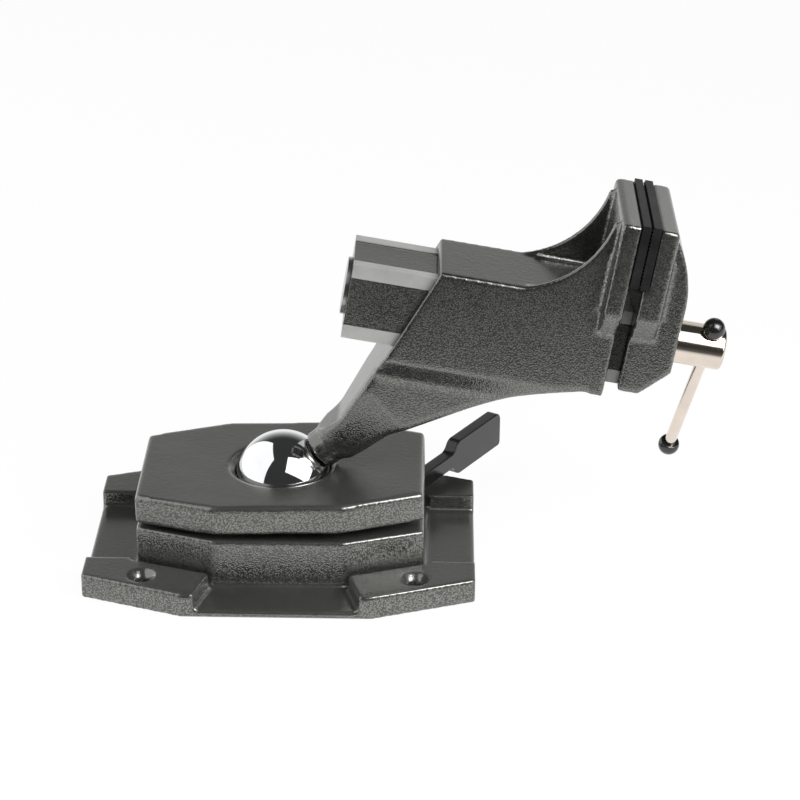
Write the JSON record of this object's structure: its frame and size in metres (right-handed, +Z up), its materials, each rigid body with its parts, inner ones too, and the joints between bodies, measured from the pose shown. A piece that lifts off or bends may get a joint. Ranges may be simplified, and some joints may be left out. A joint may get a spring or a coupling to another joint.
{
  "type": "ball joint vise",
  "caption": "Small bench vise whose head turns and tilts on a clamped ball, with a hinged clamp plate and lever, sliding jaw, spindle and tommy bar.",
  "frame": {"origin": "on the bench under the centre of the ball, at the middle of the four bench bolts", "axes": "+X along the base towards the jaws, +Y across the base to the rear, +Z up from the bench"},
  "size_m": [0.2817, 0.1643, 0.1687],
  "materials": {
    "hammer_paint": "aluminium casting in dark grey hammer-finish paint",
    "black_paint": "gloss black",
    "ball_chrome": "polished",
    "nickel": "bright nickel plate",
    "plain_steel": "turned, zinc plated",
    "black_steel": "black oxide, matte",
    "bronze": "turned",
    "black_plastic": "polished black"
  },
  "bodies": {
    "base": {"base_casting": "hammer_paint", "plate_hinge_pin": "plain_steel"},
    "clamp_plate": {"clamp_plate": "hammer_paint", "clamp_stud": "plain_steel"},
    "lever": {"clamp_lever": "black_paint", "clamp_nut": "plain_steel", "clamp_washer": "plain_steel"},
    "ball_seat": {"lower_ball_seat": "bronze"},
    "ball": {"ball": "ball_chrome", "ball_stud": "plain_steel"},
    "head": {"vise_body": "hammer_paint", "fixed_jaw_pad": "black_steel", "fixed_pad_screws": "plain_steel", "spindle_nut": "bronze", "nut_screws": "plain_steel"},
    "moving_jaw": {"moving_jaw": "hammer_paint", "moving_jaw_pad": "black_steel", "moving_pad_screws": "plain_steel", "bar_end_cap": "plain_steel"},
    "spindle": {"spindle": "nickel", "spindle_retaining_ring": "plain_steel"},
    "handle": {"handle_bar": "nickel", "handle_knob_upper": "black_plastic", "handle_knob_lower": "black_plastic"}
  },
  "joints": [
    {"name": "lever_swing", "type": "hinge", "parent": "base", "child": "lever", "pos_m": [0.0389, 0, 0.0168], "axis": [0, 0, 1], "range_deg": [-80, 0]},
    {"name": "plate_hinge", "type": "hinge", "parent": "base", "child": "clamp_plate", "pos_m": [-0.048, 0, 0.013], "axis": [0, -1, 0], "range_deg": [0, 0.22]},
    {"name": "ball_swivel", "type": "hinge", "parent": "base", "child": "ball_seat", "pos_m": [0, 0, 0.0354], "axis": [0, 0, 1], "continuous": true},
    {"name": "ball_tilt", "type": "hinge", "parent": "ball_seat", "child": "ball", "pos_m": [0, 0, 0.0354], "axis": [0, 1, 0], "range_deg": [-100, 0]},
    {"name": "head_turn", "type": "hinge", "parent": "ball", "child": "head", "pos_m": [0, 0, 0.0354], "axis": [0.766, 0, 0.6428], "continuous": true},
    {"name": "jaw_slide", "type": "slide", "parent": "head", "child": "moving_jaw", "axis": [0.986, 0, -0.1668], "range_m": [0, 0.05]},
    {"name": "spindle_turn", "type": "hinge", "parent": "moving_jaw", "child": "spindle", "pos_m": [0.01611, 0, 0.13065], "axis": [0.986, 0, -0.1668], "range_deg": [0, 6000]},
    {"name": "handle_slide", "type": "slide", "parent": "spindle", "child": "handle", "axis": [0.1459, -0.4848, 0.8624], "range_m": [0, 0.0625]}
  ],
  "couplings": [
    {"joint": "plate_hinge", "follows": "lever_swing", "ratio": -0.0027472},
    {"joint": "spindle_turn", "follows": "jaw_slide", "rad_per_m": 2094.4}
  ]
}
